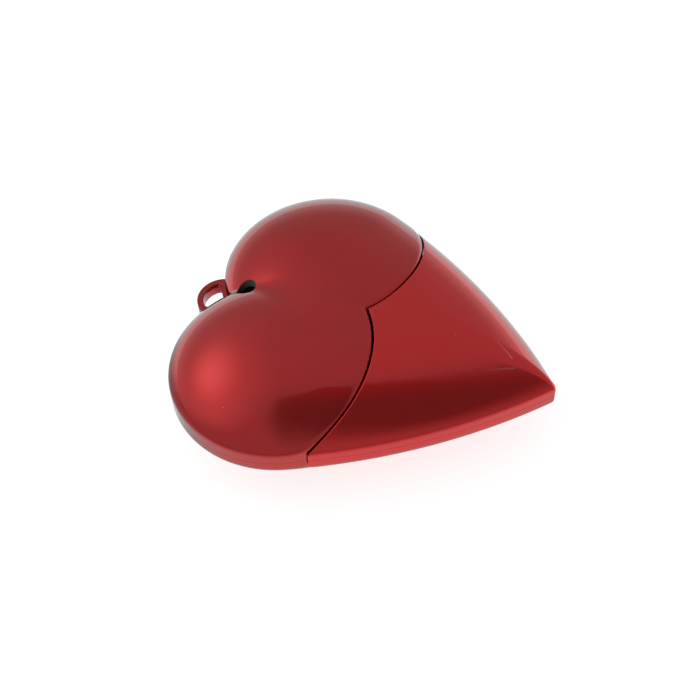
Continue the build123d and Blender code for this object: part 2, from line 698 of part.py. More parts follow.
# Cap liner, a closed sleeve that grips the plug, trimmed to the inside of the cap
LINER_SPACE = both_halves(crown(WALL + LINER_CLEARANCE))
LINER_PLAN = plan(WALL + LINER_CLEARANCE, CAP)
with BuildPart() as cap_liner:
    add(LINER_BLOCK)
    add(CAP_SLOT, mode=Mode.SUBTRACT)
    add(LINER_SPACE, mode=Mode.INTERSECT)
    with BuildSketch(level(-MID_Z)):
        add(LINER_PLAN)
    extrude(amount=2 * MID_Z, mode=Mode.INTERSECT)
cap_liner.part.label = "cap_liner"

# One file for each piece
os.makedirs("parts", exist_ok=True)
export_step(body_top_shell.part, "parts/body_top_shell.step")
export_step(body_bottom_shell.part, "parts/body_bottom_shell.step")
export_step(key_loop.part, "parts/key_loop.step")
export_step(circuit_board.part, "parts/circuit_board.step")
export_step(plug_shell.part, "parts/plug_shell.step")
export_step(plug_insulator.part, "parts/plug_insulator.step")
export_step(contact_power.part, "parts/contact_power.step")
export_step(contact_data_minus.part, "parts/contact_data_minus.step")
export_step(contact_data_plus.part, "parts/contact_data_plus.step")
export_step(contact_ground.part, "parts/contact_ground.step")
export_step(controller_chip.part, "parts/controller_chip.step")
export_step(controller_leads.part, "parts/controller_leads.step")
export_step(memory_chip.part, "parts/memory_chip.step")
export_step(memory_leads.part, "parts/memory_leads.step")
export_step(crystal.part, "parts/crystal.step")
export_step(status_light.part, "parts/status_light.step")
export_step(resistors.part, "parts/resistors.step")
export_step(capacitors.part, "parts/capacitors.step")
export_step(cap_top_shell.part, "parts/cap_top_shell.step")
export_step(cap_bottom_shell.part, "parts/cap_bottom_shell.step")
export_step(cap_liner.part, "parts/cap_liner.step")
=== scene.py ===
"""Looks of a heart-shaped pocket drive with a pull-off cap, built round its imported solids.

The four shells and the key loop are redrawn as smooth meshes with softened edges, and every other piece
keeps its solid. Sizes are in millimetres, measured from the line through the two lobe centres and from
the plane where the upper and lower shells meet, and place() takes them into the frame in metres.
Colours are in linear light.
"""

from collections import namedtuple
from math import asin, atan2, cos, hypot, pi, radians, sin, sqrt, tan

import bmesh
import bpy
from mathutils import Matrix, Vector


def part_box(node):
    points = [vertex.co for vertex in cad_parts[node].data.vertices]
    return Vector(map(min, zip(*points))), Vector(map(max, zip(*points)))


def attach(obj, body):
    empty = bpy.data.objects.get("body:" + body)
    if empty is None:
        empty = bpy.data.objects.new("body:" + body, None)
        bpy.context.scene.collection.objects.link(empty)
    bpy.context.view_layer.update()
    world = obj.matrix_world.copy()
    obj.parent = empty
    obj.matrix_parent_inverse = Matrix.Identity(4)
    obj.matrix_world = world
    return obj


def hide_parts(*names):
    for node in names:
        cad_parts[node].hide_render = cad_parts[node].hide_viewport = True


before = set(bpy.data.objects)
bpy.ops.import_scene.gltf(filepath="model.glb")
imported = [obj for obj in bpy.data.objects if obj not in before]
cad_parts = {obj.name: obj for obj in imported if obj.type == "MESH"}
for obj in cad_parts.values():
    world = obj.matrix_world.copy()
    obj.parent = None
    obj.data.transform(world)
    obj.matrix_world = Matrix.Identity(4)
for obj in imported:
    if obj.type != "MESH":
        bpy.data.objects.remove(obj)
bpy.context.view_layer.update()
MM = 0.001
UP = Vector((0, 0, 1))

# Heart in plan
LOBE_RADIUS = 15.3
LOBE_Y = 9.4
TIP_REACH = 37.2
SIDE_RADIUS = 92.0
NOTCH_RADIUS = 0.6
TIP_RADIUS = 0.5
TIP_SOFTENING = 0.35

# Heart in side view
BAND_HEIGHT = 2.9
CROWN_HEIGHT = 5.85
CROWN_REACH = 14.0
RIM_ANGLE = radians(12)
RIM_FILLET = 1.6
CAP_TOP_RIM = 1.1

# Shells and the seam between body and cap
WALL = 1.5
SEAM_RADIUS = 17.2
SEAM_Y = 10.6
SEAM_APEX = 13.15
SEAM_GAP = 0.16
BODY_ROUNDING = 0.6
CAP_ROUNDING = 0.2
MEETING_ROUNDING = 0.02

# Way of the plug, and the light hole
PLUG_WIDTH = 12.0
PLUG_HEIGHT = 4.5
PLUG_CORNER = 0.6
PLUG_CLEARANCE = 0.1
CAP_CLEARANCE = 0.2
LIGHT_HOLE_RADIUS = 1.45
LIGHT_HOLE_SETBACK = 3.37
LIGHT_HOLE_FLOOR = 1.5

# Key loop
LOOP_EYE_RADIUS = 2.95
LOOP_THICKNESS = 0.95
LOOP_HEIGHT = 2.0
LOOP_STAND_OFF = 0.48
LOOP_BAR = 0.58
LOOP_CORNER = 0.4
LOOP_ROUNDING = 0.15

# Mesh density and tolerances
BODY_COLUMNS = 120
CAP_COLUMNS = 80
BAND_RINGS = 3
RIM_RINGS = 8
CROWN_RINGS = 36
ROUND_STEPS = 4
TOP_STEPS = 16
TURN_WEIGHT = 10.0
SLOT_CORNER_STEPS = 6
HOLE_STEPS = 72
LOOP_COLUMNS = 72
SEAM_HALVINGS = 50
WALL_START = 0.15
MERGE_DISTANCE = 0.001

# Places worked out from these
SEAM_X = SEAM_APEX - SEAM_RADIUS
SLOT_REACH = SEAM_RADIUS / 3
NOTCH_EDGE = NOTCH_RADIUS - sqrt((LOBE_RADIUS + NOTCH_RADIUS) ** 2 - LOBE_Y**2)
LOOP_X = NOTCH_EDGE - LOOP_STAND_OFF
LIGHT_HOLE_X = NOTCH_EDGE + LIGHT_HOLE_SETBACK
LOBE_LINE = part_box("body_top_shell")[0].x + LOBE_RADIUS * MM
MEETING_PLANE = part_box("cap_top_shell")[0].z

# Centre of the side's arc, which touches the lobe and runs to the tip, and the angle where it touches
TIP_DISTANCE = hypot(TIP_REACH, LOBE_Y)
TIP_SLOPE = atan2(-LOBE_Y, TIP_REACH)
ARC_DROP = SIDE_RADIUS - LOBE_RADIUS
ARC_ALONG = (ARC_DROP**2 - SIDE_RADIUS**2 + TIP_DISTANCE**2) / (2 * TIP_DISTANCE)
ARC_ACROSS = sqrt(ARC_DROP**2 - ARC_ALONG**2)
SIDE_X = ARC_ALONG * cos(TIP_SLOPE) + ARC_ACROSS * sin(TIP_SLOPE)
SIDE_Y = LOBE_Y + ARC_ALONG * sin(TIP_SLOPE) - ARC_ACROSS * cos(TIP_SLOPE)
SIDE_ANGLE = atan2(LOBE_Y - SIDE_Y, -SIDE_X)

# Sides of the seam, places of two arcs in outline(), and places of a shell's two finishes
BODY = -1
CAP = 1
SIDE_ARC = 2
TIP_ARC = 3
OUTER_FINISH = 0
INNER_FINISH = 1

Arc = namedtuple("Arc", "x y radius start end")


def place(x, y, z):
    """Point of the frame in metres, from millimetres off the lobe line and the meeting plane."""
    return Vector((LOBE_LINE + x * MM, y * MM, MEETING_PLANE + z * MM))


def on_arc(arc, angle):
    """Point of an arc at an angle."""
    return arc.x + arc.radius * cos(angle), arc.y + arc.radius * sin(angle)


def outline(inset):
    """Arcs of the heart's outline on one side of its axis, moved inward, from the notch to the tip."""
    lobe_radius = LOBE_RADIUS - inset
    notch_radius = NOTCH_RADIUS + LOBE_Y * (inset / CROWN_REACH) ** 2
    notch_x = -sqrt((lobe_radius + notch_radius) ** 2 - LOBE_Y**2)
    notch_angle = atan2(LOBE_Y, -notch_x)
    tip_radius = TIP_RADIUS + TIP_SOFTENING * inset
    tip_x = SIDE_X + sqrt((SIDE_RADIUS - inset - tip_radius) ** 2 - SIDE_Y**2)
    tip_angle = atan2(-SIDE_Y, tip_x - SIDE_X)
    return [
        Arc(notch_x, 0.0, notch_radius, 0.0, notch_angle),
        Arc(0.0, LOBE_Y, lobe_radius, pi + notch_angle, SIDE_ANGLE),
        Arc(SIDE_X, SIDE_Y, SIDE_RADIUS - inset, SIDE_ANGLE, tip_angle),
        Arc(tip_x, 0.0, tip_radius, tip_angle, 0.0),
    ]


def seam_radius(side, inset):
    """Radius of the seam's arcs on the body or the cap, moved into that part by inset."""
    return SEAM_RADIUS + side * inset + (SEAM_GAP if side == CAP else 0.0)


def past_seam(arc, angle, radius):
    """Is a point of an arc outside the seam circle of that radius?"""
    x, y = on_arc(arc, angle)
    return hypot(x - SEAM_X, y - SEAM_Y) > radius


def half_outline(inset, side, seam_inset):
    """Arcs of the body's or the cap's outline on one side of the axis, from the axis to the seam."""
    arcs = outline(inset)
    radius = seam_radius(side, seam_inset)
    index = SIDE_ARC if past_seam(arcs[SIDE_ARC], arcs[SIDE_ARC].end, radius) else TIP_ARC
    inner, outer = arcs[index].start, arcs[index].end
    for _ in range(SEAM_HALVINGS):
        middle = (inner + outer) / 2
        if past_seam(arcs[index], middle, radius):
            outer = middle
        else:
            inner = middle
    if side == BODY:
        return arcs[:index] + [arcs[index]._replace(end=inner)]
    rest = [arcs[index]._replace(start=outer)] + arcs[index + 1:]
    return [arc._replace(start=arc.end, end=arc.start) for arc in reversed(rest)]


def spread(arcs, count):
    """Points along joined arcs, closer together where the arcs turn tightly."""
    weights = [(arc.radius + TURN_WEIGHT) * abs(arc.end - arc.start) for arc in arcs]
    points = []
    for step in range(count + 1):
        left = sum(weights) * step / count
        index = 0
        while left > weights[index] and index < len(arcs) - 1:
            left -= weights[index]
            index += 1
        arc = arcs[index]
        share = min(left / weights[index], 1.0)
        points.append(on_arc(arc, arc.start + (arc.end - arc.start) * share))
    return points


def profile(inset, foot_rounding, rim_height):
    """Inset and height of each ring of a skin, from the meeting plane up to the flat top."""
    reach = CROWN_REACH - inset
    rise = (BAND_HEIGHT / 2 + CROWN_HEIGHT - rim_height - inset) / (1 - sin(RIM_ANGLE))
    inward = reach * tan(RIM_ANGLE)
    upward = rise * cos(RIM_ANGLE)
    lean = atan2(inward, upward)
    setback = RIM_FILLET * tan(lean / 2)
    rim = rim_height - setback
    rings = []
    if foot_rounding:
        for step in range(ROUND_STEPS):
            turn = pi / 2 * step / ROUND_STEPS
            rings.append((inset + foot_rounding * (1 - sin(turn)), foot_rounding * (1 - cos(turn))))
    for step in range(BAND_RINGS + 1):
        rings.append((inset, foot_rounding + (rim - foot_rounding) * step / BAND_RINGS))
    for step in range(1, RIM_RINGS + 1):
        turn = lean * step / RIM_RINGS
        rings.append((inset + RIM_FILLET * (1 - cos(turn)), rim + RIM_FILLET * sin(turn)))
    first = RIM_ANGLE + setback / hypot(inward, upward)
    for step in range(1, CROWN_RINGS + 1):
        turn = first + (pi / 2 - first) * step / CROWN_RINGS
        ring_inset = inset + reach * (1 - cos(turn) / cos(RIM_ANGLE))
        rings.append((ring_inset, rim_height + rise * (sin(turn) - sin(RIM_ANGLE))))
    return rings


def skin_rows(side, inset, rounding, foot_rounding, rim_height):
    """Rows of points over half a skin from the meeting plane up, each from the axis to the seam's edge.

    The last columns turn over the seam's edge, and the last rows hold only those columns: they follow
    the seam across the flat top to the axis.
    """
    columns = BODY_COLUMNS if side == BODY else CAP_COLUMNS
    steps = ROUND_STEPS if rounding else 0
    turns = [pi / 2 * step / ROUND_STEPS for step in range(steps + 1)]
    drops = [rounding * (1 - cos(turn)) for turn in turns]
    backs = [inset + rounding * (1 - sin(turn)) for turn in turns]
    profiles = [profile(inset + drop, foot_rounding, rim_height) for drop in drops]
    rows = []
    for ring, (ring_inset, height) in enumerate(profiles[0]):
        row = [(x, y, height) for x, y in spread(half_outline(ring_inset, side, backs[0]), columns)]
        for column in range(1, steps + 1):
            edge_inset, edge_height = profiles[column][ring]
            last = half_outline(edge_inset, side, backs[column])[-1]
            row.append((*on_arc(last, last.end), edge_height))
        rows.append(row)
    top = rows[-1][columns:]
    for step in range(1, TOP_STEPS + 1):
        row = []
        for (x, y, height), back in zip(top, backs):
            radius = seam_radius(side, back)
            start = atan2(y - SEAM_Y, x - SEAM_X)
            angle = start + (-asin(SEAM_Y / radius) - start) * step / TOP_STEPS
            row.append((SEAM_X + radius * cos(angle), SEAM_Y + radius * sin(angle), height))
        rows.append(row)
    return rows, columns


def quads(rows):
    """Four-cornered faces between each row of corners and the next."""
    return [
        (low[column], low[column + 1], high[column + 1], high[column])
        for low, high in zip(rows, rows[1:])
        for column in range(len(low) - 1)
    ]


def add_skin(bm, side, inset, rounding, foot_rounding, rim_height, finish):
    """Half of a skin as faces: its band and crown, its flat top, and its wall along the seam.

    The wall's first face stands under the stretch of the edge that rises almost straight.
    """
    rows, columns = skin_rows(side, inset, rounding, foot_rounding, rim_height)
    corners = [[bm.verts.new(place(*point)) for point in row] for row in rows]
    full = len(corners) - TOP_STEPS
    edge_rows = [corners[full - 1][columns:]] + corners[full:]
    top = corners[full - 1][:columns + 1] + [row[0] for row in edge_rows[1:]]

    edge = [row[-1] for row in corners]
    foot_y = rows[0][-1][1]
    first = next(index for index, row in enumerate(rows) if row[-1][1] < foot_y - WALL_START)
    feet = [bm.verts.new(place(row[-1][0], row[-1][1], 0.0)) for row in rows[first:]]
    wall_end = edge[:first + 1] + [feet[0]]

    faces = quads(corners[:full]) + quads(edge_rows) + [top, wall_end] + quads([edge[first:], feet])
    for face in faces:
        bm.faces.new(face).material_index = finish


def finished(bm, name):
    """Object with the mesh, in the scene."""
    mesh = bpy.data.meshes.new(name)
    bm.to_mesh(mesh)
    bm.free()
    piece = bpy.data.objects.new(name, mesh)
    bpy.context.scene.collection.objects.link(piece)
    return piece


def shell(name, side, up):
    """Hollow half shell of the body or the cap, above the meeting plane or, with up -1, below it."""
    rounding = BODY_ROUNDING if side == BODY else CAP_ROUNDING
    rim_height = CAP_TOP_RIM if side == CAP and up > 0 else BAND_HEIGHT / 2
    bm = bmesh.new()
    add_skin(bm, side, 0.0, rounding, MEETING_ROUNDING, rim_height, OUTER_FINISH)
    add_skin(bm, side, WALL, 0.0, 0.0, rim_height, INNER_FINISH)
    whole = bm.verts[:] + bm.edges[:] + bm.faces[:]
    merge = MERGE_DISTANCE * MM
    bmesh.ops.mirror(bm, geom=whole, matrix=Matrix.Identity(4), merge_dist=merge, axis="Y")
    rims = [edge for edge in bm.edges if edge.is_boundary]
    bmesh.ops.triangle_fill(bm, use_beauty=True, edges=rims)
    if up < 0:
        for corner in bm.verts:
            corner.co.z = 2 * MEETING_PLANE - corner.co.z
    bmesh.ops.recalc_face_normals(bm, faces=bm.faces)
    return finished(bm, name)


def prism(name, points, shifts, finish):
    """Closed prism whose two ends are a ring of points moved by two shifts."""
    bm = bmesh.new()
    ends = [[bm.verts.new(point + shift) for point in points] for shift in shifts]
    bm.faces.new(ends[0])
    bm.faces.new(ends[1])
    for index in range(len(points)):
        ahead = (index + 1) % len(points)
        bm.faces.new((ends[0][index], ends[0][ahead], ends[1][ahead], ends[1][index]))
    for face in bm.faces:
        face.material_index = finish
    bmesh.ops.recalc_face_normals(bm, faces=bm.faces)
    return finished(bm, name)


def slot_cutter(clearance):
    """Bar of rounded section that cuts the way of the plug through a seam wall."""
    half_width = PLUG_WIDTH / 2 + clearance - PLUG_CORNER
    half_height = PLUG_HEIGHT / 2 + clearance - PLUG_CORNER
    points = []
    for quarter, (across, up) in enumerate(((1, 1), (-1, 1), (-1, -1), (1, -1))):
        for step in range(SLOT_CORNER_STEPS + 1):
            turn = pi / 2 * (quarter + step / SLOT_CORNER_STEPS)
            y = across * half_width + PLUG_CORNER * cos(turn)
            z = up * half_height + PLUG_CORNER * sin(turn)
            points.append(place(SEAM_APEX, y, z))
    reach = Vector((SLOT_REACH * MM, 0, 0))
    return prism("slot_cutter", points, (-reach, reach), OUTER_FINISH)


def hole_cutter():
    """Upright rod that cuts the light hole into the notch, with no corner on the heart's axis."""
    points = []
    for step in range(HOLE_STEPS):
        turn = 2 * pi * (step + 0.5) / HOLE_STEPS
        x = LIGHT_HOLE_X + LIGHT_HOLE_RADIUS * cos(turn)
        points.append(place(x, LIGHT_HOLE_RADIUS * sin(turn), LIGHT_HOLE_FLOOR))
    ends = (Vector((0, 0, 0)), Vector((0, 0, CROWN_HEIGHT * MM)))
    return prism("hole_cutter", points, ends, INNER_FINISH)


def cut(piece, cutter):
    """Takes the cutter's volume out of a piece and deletes the cutter."""
    for mesh in (cutter.data, piece.data):
        while len(mesh.materials) <= INNER_FINISH:
            mesh.materials.append(None)
    step = piece.modifiers.new("cut", "BOOLEAN")
    step.object = cutter
    step.solver = "EXACT"
    bpy.context.view_layer.update()
    graph = bpy.context.evaluated_depsgraph_get()
    mesh = bpy.data.meshes.new_from_object(piece.evaluated_get(graph))
    piece.modifiers.clear()
    piece.data = mesh
    bpy.data.objects.remove(cutter)


body_upper = shell("body_upper_shell", BODY, 1)
cut(body_upper, slot_cutter(PLUG_CLEARANCE))
cut(body_upper, hole_cutter())
body_lower = shell("body_lower_shell", BODY, -1)
cut(body_lower, slot_cutter(PLUG_CLEARANCE))
cap_upper = shell("cap_upper_shell", CAP, 1)
cut(cap_upper, slot_cutter(CAP_CLEARANCE))
cap_lower = shell("cap_lower_shell", CAP, -1)
cut(cap_lower, slot_cutter(CAP_CLEARANCE))


def eye_outline(growth):
    """Arcs of the loop's eye on one side of its axis, grown outward, from the heart's side to the far side.

    The eye is round, closed on the heart's side by a bar that follows the two lobes.
    """
    bar = LOBE_RADIUS + LOOP_BAR
    from_lobe = bar + LOOP_CORNER
    from_loop = LOOP_EYE_RADIUS - LOOP_CORNER
    apex_x = -sqrt(from_lobe**2 - LOBE_Y**2)
    apex_angle = atan2(LOBE_Y, -apex_x)
    apart = hypot(LOOP_X, LOBE_Y)
    along = (from_loop**2 - from_lobe**2 + apart**2) / (2 * apart)
    across = sqrt(from_loop**2 - along**2)
    corner_x = LOOP_X - (along * LOOP_X + across * LOBE_Y) / apart
    corner_y = (along * LOBE_Y - across * LOOP_X) / apart
    corner_start = atan2(LOBE_Y - corner_y, -corner_x)
    corner_end = atan2(corner_y, corner_x - LOOP_X)
    return [
        Arc(apex_x, 0.0, LOOP_CORNER + growth, 0.0, apex_angle),
        Arc(0.0, LOBE_Y, bar - growth, pi + apex_angle, pi + corner_start),
        Arc(corner_x, corner_y, LOOP_CORNER + growth, corner_start, corner_end),
        Arc(LOOP_X, 0.0, LOOP_EYE_RADIUS + growth, corner_end, pi),
    ]


def key_loop():
    """Flat loop with softened edges: rings of points up its round outside, then down its eye."""
    outer = LOOP_EYE_RADIUS + LOOP_THICKNESS
    turns = [pi / 2 * step / ROUND_STEPS for step in range(ROUND_STEPS + 1)]
    flat = LOOP_HEIGHT / 2 - LOOP_ROUNDING
    rims = [(LOOP_ROUNDING * (1 - cos(turn)), flat + LOOP_ROUNDING * sin(turn)) for turn in turns]
    rings = []
    for side in (-1, 1):
        for back, height in rims[::side]:
            rings.append(([Arc(LOOP_X, 0.0, outer - back, 0.0, pi)], side * height))
    for side in (1, -1):
        for back, height in rims[::-side]:
            rings.append((eye_outline(back), side * height))
    bm = bmesh.new()
    loops = []
    for arcs, height in rings:
        half = spread(arcs, LOOP_COLUMNS)
        whole = half + [(x, -y) for x, y in reversed(half[1:-1])]
        loops.append([bm.verts.new(place(x, y, height)) for x, y in whole])
    for index, ring in enumerate(loops):
        ahead = loops[(index + 1) % len(loops)]
        for corner in range(len(ring)):
            after = (corner + 1) % len(ring)
            bm.faces.new((ring[corner], ring[after], ahead[after], ahead[corner]))
    bmesh.ops.recalc_face_normals(bm, faces=bm.faces)
    return finished(bm, "key_ring")


loop = key_loop()


# Nodes of the materials

def node(tree, kind, inputs=None, **settings):
    """New node with its settings, and with inputs given as values or as sockets to link."""
    made = tree.nodes.new(kind)
    for name, value in settings.items():
        setattr(made, name, value)
    for name, value in (inputs or {}).items():
        if isinstance(value, bpy.types.NodeSocket):
            tree.links.new(value, made.inputs[name])
        else:
            made.inputs[name].default_value = value
    return made


def material(name, **values):
    """New material, its tree, its main shader with the given values, and a point's place in the piece."""
    made = bpy.data.materials.new(name)
    made.use_nodes = True
    tree = made.node_tree
    shader = tree.nodes["Principled BSDF"]
    for key, value in values.items():
        shader.inputs[key.replace("_", " ")].default_value = value
    coordinates = node(tree, "ShaderNodeTexCoord").outputs["Object"]
    return made, tree, shader, coordinates


def math(tree, operation, first, second=0.0):
    """Result of a calculation on one or two numbers."""
    return node(tree, "ShaderNodeMath", {0: first, 1: second}, operation=operation).outputs["Value"]


def vector(tree, operation, first, second=(0, 0, 0)):
    """Vector that a calculation on one or two vectors gives."""
    return node(tree, "ShaderNodeVectorMath", {0: first, 1: second}, operation=operation).outputs["Vector"]


def measure(tree, operation, first, second=(0, 0, 0)):
    """Number that a calculation on one or two vectors gives."""
    return node(tree, "ShaderNodeVectorMath", {0: first, 1: second}, operation=operation).outputs["Value"]


def part_along(tree, way, direction):
    """Length of the part of a vector that lies along a direction."""
    return measure(tree, "DOT_PRODUCT", way, direction)


def ramp(tree, value, low, high, to_low=0.0, to_high=1.0):
    """A value between low and high, taken smoothly to the range between to_low and to_high."""
    inputs = {"Value": value, "From Min": low, "From Max": high, "To Min": to_low, "To Max": to_high}
    return node(tree, "ShaderNodeMapRange", inputs, interpolation_type="SMOOTHSTEP").outputs["Result"]


def blend(tree, share, colour_a, colour_b):
    """Colour between two colours, each a colour or a socket."""
    inputs = {"Factor": share, 6: colour_a, 7: colour_b}
    return node(tree, "ShaderNodeMix", inputs, data_type="RGBA").outputs[2]


def feed(tree, shader, **sockets):
    """Links sockets to the inputs of a shader that have those names."""
    for name, socket in sockets.items():
        tree.links.new(socket, shader.inputs[name.replace("_", " ")])


def noise(tree, coordinates, grain, detail=2.0):
    """Cloudy pattern from 0 to 1 whose clouds are about grain millimetres across."""
    inputs = {"Vector": coordinates, "Scale": 1 / (grain * MM), "Detail": detail}
    return node(tree, "ShaderNodeTexNoise", inputs).outputs["Fac"]


def streaks(tree, coordinates, grain, stretch):
    """Cloudy pattern drawn out into streaks: its grain across, and how many times longer each way."""
    inputs = {"Vector": coordinates, "Scale": [1 / way for way in stretch]}
    stretched = node(tree, "ShaderNodeMapping", inputs).outputs["Vector"]
    return noise(tree, stretched, grain, detail=4.0)


def bump(tree, shader, height, depth):
    """Gives a surface small relief, depth millimetres high where the pattern goes from 0 to 1."""
    made = node(tree, "ShaderNodeBump", {"Height": height, "Distance": depth * MM})
    feed(tree, shader, Normal=made.outputs["Normal"])


def specks(tree, coordinates, spacing, size):
    """Mask of scattered round specks: about one in each spacing, size millimetres across at most."""
    inputs = {"Vector": coordinates, "Scale": 1 / (spacing * MM)}
    cells = node(tree, "ShaderNodeTexVoronoi", inputs)
    chance = node(tree, "ShaderNodeSeparateColor", {"Color": cells.outputs["Color"]}).outputs["Red"]
    reach = math(tree, "MULTIPLY", chance, size / (2 * spacing))
    return math(tree, "LESS_THAN", cells.outputs["Distance"], reach)


Mark = namedtuple("Mark", "start end width strength")


def pale_line(tree, coordinates, mark):
    """Mask of a straight pale line seen from above, which grows stronger from its start to its end."""
    start = place(*mark.start, 0.0)
    run = place(*mark.end, 0.0) - start
    level = vector(tree, "MULTIPLY", coordinates, (1, 1, 0))
    offset = vector(tree, "SUBTRACT", level, (start.x, start.y, 0))
    way = part_along(tree, offset, run / run.length_squared)
    share = node(tree, "ShaderNodeClamp", {"Value": way}).outputs["Result"]
    away = measure(tree, "DISTANCE", offset, vector(tree, "MULTIPLY", run, share))
    line = ramp(tree, away, 0.0, mark.width * MM / 2, mark.strength, 0.0)
    return math(tree, "MULTIPLY", line, share)


# Contrast of a cloudy pattern: the values of it that are its lowest and its highest in use
SOFT = (0.3, 0.7)
CLEAR = (0.35, 0.65)
STAINED = (0.35, 0.7)
RUBBED = (0.6, 0.75)

# Two shades of each finish: where its clouds, grain or stains are weakest, and where they are strongest
BODY_RED = (0.5, 0.0021, 0.0025, 1), (0.53, 0.0025, 0.003, 1)
CAP_RED = (0.67, 0.0025, 0.0025, 1), (0.68, 0.003, 0.003, 1)
LOOP_RED = (0.34, 0.0021, 0.0025, 1), (0.38, 0.0025, 0.003, 1)
INSIDE_BROWN = (0.13, 0.105, 0.1, 1), (0.17, 0.14, 0.135, 1)
LINER_BLACK = (0.012, 0.012, 0.013, 1), (0.02, 0.02, 0.022, 1)
INSULATOR_BLACK = (0.014, 0.014, 0.015, 1), (0.022, 0.022, 0.024, 1)
CHIP_BLACK = (0.015, 0.015, 0.016, 1), (0.028, 0.028, 0.029, 1)
PLUG_GREY = (0.66, 0.66, 0.65, 1), (0.6, 0.6, 0.59, 1)
CONTACT_GOLD = (0.85, 0.6, 0.24, 1), (0.72, 0.46, 0.14, 1)
LEAD_GREY = (0.72, 0.72, 0.71, 1), (0.56, 0.56, 0.55, 1)
CAN_GREY = (0.68, 0.68, 0.67, 1), (0.52, 0.52, 0.51, 1)
MASK_GREEN = (0.008, 0.075, 0.03, 1), (0.012, 0.1, 0.04, 1)
RESISTOR_BLACK = (0.012, 0.012, 0.014, 1), (0.03, 0.03, 0.033, 1)
CAPACITOR_BROWN = (0.3, 0.2, 0.11, 1), (0.42, 0.29, 0.17, 1)
PHOSPHOR_YELLOW = (0.85, 0.72, 0.2, 1), (0.8, 0.6, 0.12, 1)
PAPER_GREY = (0.59, 0.59, 0.59, 1), (0.61, 0.61, 0.61, 1)

# Single colours
# Pale pink of dust specks and of the pale lines on the cap
DUST_AND_LINE_PINK = (0.75, 0.45, 0.42, 1)
TRACK_GREEN = (0.03, 0.2, 0.075, 1)
TIN_GREY = (0.68, 0.68, 0.66, 1)
LIGHT_BASE_WHITE = (0.82, 0.82, 0.8, 1)
WHITE = (1, 1, 1, 1)
BLACK = (0, 0, 0, 1)

# Lacquered metal
LACQUER_CLOUDS = 9.0
LACQUER_GRAIN = 0.12
LACQUER_GLOSS_SPAN = 0.02
PEEL_SIZE = 2.2
PEEL_DEPTH = 0.003
RUB_SIZE = 0.5
RUB_STRETCH = (6, 2, 2)
DUST_SPACING = 5.0
DUST_SIZE = 0.35
DUST_COVER = 0.6
DUST_RELIEF = 3.0
DUST_AND_LINE_ROUGHNESS = 0.4


def lacquered_metal(name, shades, roughness, scuff, pale_lines=()):
    """Red transparent lacquer over a bright metal layer, with fine grain, orange peel, wear, dust and any
    pale lines given.
    """
    made, tree, shader, at = material(
        name, Metallic=1.0, Specular_Tint=BLACK, Coat_Roughness=0.05, Coat_IOR=1.52
    )
    dust = specks(tree, at, DUST_SPACING, DUST_SIZE)
    dust_and_lines = math(tree, "MULTIPLY", dust, DUST_COVER)
    # Pale lines: along each, the lacquer turns pale pink and rough and loses its coat, more so towards the
    # line's end
    for mark in pale_lines:
        dust_and_lines = math(tree, "MAXIMUM", dust_and_lines, pale_line(tree, at, mark))
    cloud = ramp(tree, noise(tree, at, LACQUER_CLOUDS), *CLEAR)
    paint = blend(tree, cloud, *shades)
    grain = noise(tree, at, LACQUER_GRAIN)
    gloss = ramp(tree, grain, *SOFT, roughness - LACQUER_GLOSS_SPAN, roughness + LACQUER_GLOSS_SPAN)
    rubbed = ramp(tree, streaks(tree, at, RUB_SIZE, RUB_STRETCH), *RUBBED, 0.0, scuff)
    gloss = math(tree, "ADD", gloss, rubbed)
    gloss = math(tree, "ADD", gloss, math(tree, "MULTIPLY", dust_and_lines, DUST_AND_LINE_ROUGHNESS))
    coat = math(tree, "SUBTRACT", 1.0, dust_and_lines)
    feed(tree, shader, Base_Color=blend(tree, dust_and_lines, paint, DUST_AND_LINE_PINK), Roughness=gloss, Coat_Weight=coat)
    relief = math(tree, "ADD", noise(tree, at, PEEL_SIZE), math(tree, "MULTIPLY", dust, DUST_RELIEF))
    bump(tree, shader, relief, PEEL_DEPTH)
    return made


# Moulded plastic
SPARK_GRAIN = 0.09
SPARK_DEPTH = 0.02
FLOW_CLOUDS = 3.0
PLASTIC_GLOSS_SPAN = 0.08


def moulded_plastic(name, shades, roughness):
    """Dull moulded plastic with a fine spark-eroded grain and faint flow clouds."""
    made, tree, shader, at = material(name)
    grain = noise(tree, at, SPARK_GRAIN, detail=3.0)
    cloud = ramp(tree, noise(tree, at, FLOW_CLOUDS), *SOFT)
    gloss = ramp(tree, grain, *SOFT, roughness - PLASTIC_GLOSS_SPAN, roughness + PLASTIC_GLOSS_SPAN)
    feed(tree, shader, Base_Color=blend(tree, cloud, *shades), Roughness=gloss)
    bump(tree, shader, grain, SPARK_DEPTH)
    return made


# Drawn metal
STAIN_SIZE = 1.6
LINE_DEPTH = 0.002
METAL_SMOOTHER = 0.08
METAL_ROUGHER = 0.1


def drawn_metal(name, shades, roughness, grain, stretch):
    """Plain sheet or plated metal with rolling streaks and slight stains."""
    made, tree, shader, at = material(name, Metallic=1.0)
    lines = streaks(tree, at, grain, stretch)
    stain = ramp(tree, noise(tree, at, STAIN_SIZE, detail=3.0), *STAINED)
    gloss = ramp(tree, lines, *SOFT, roughness - METAL_SMOOTHER, roughness + METAL_ROUGHER)
    feed(tree, shader, Base_Color=blend(tree, stain, *shades), Roughness=gloss)
    bump(tree, shader, lines, LINE_DEPTH)
    return made


# Circuit board
TRACK_SPACING = 2.4
TRACK_DISORDER = 0.55
TRACK_EDGE = (0.05, 0.09)
TRACK_HEIGHT = 0.03
MASK_CLOUDS = 2.0
MASK_GRAIN = 0.3
MASK_ROUGHNESS = (0.3, 0.45)


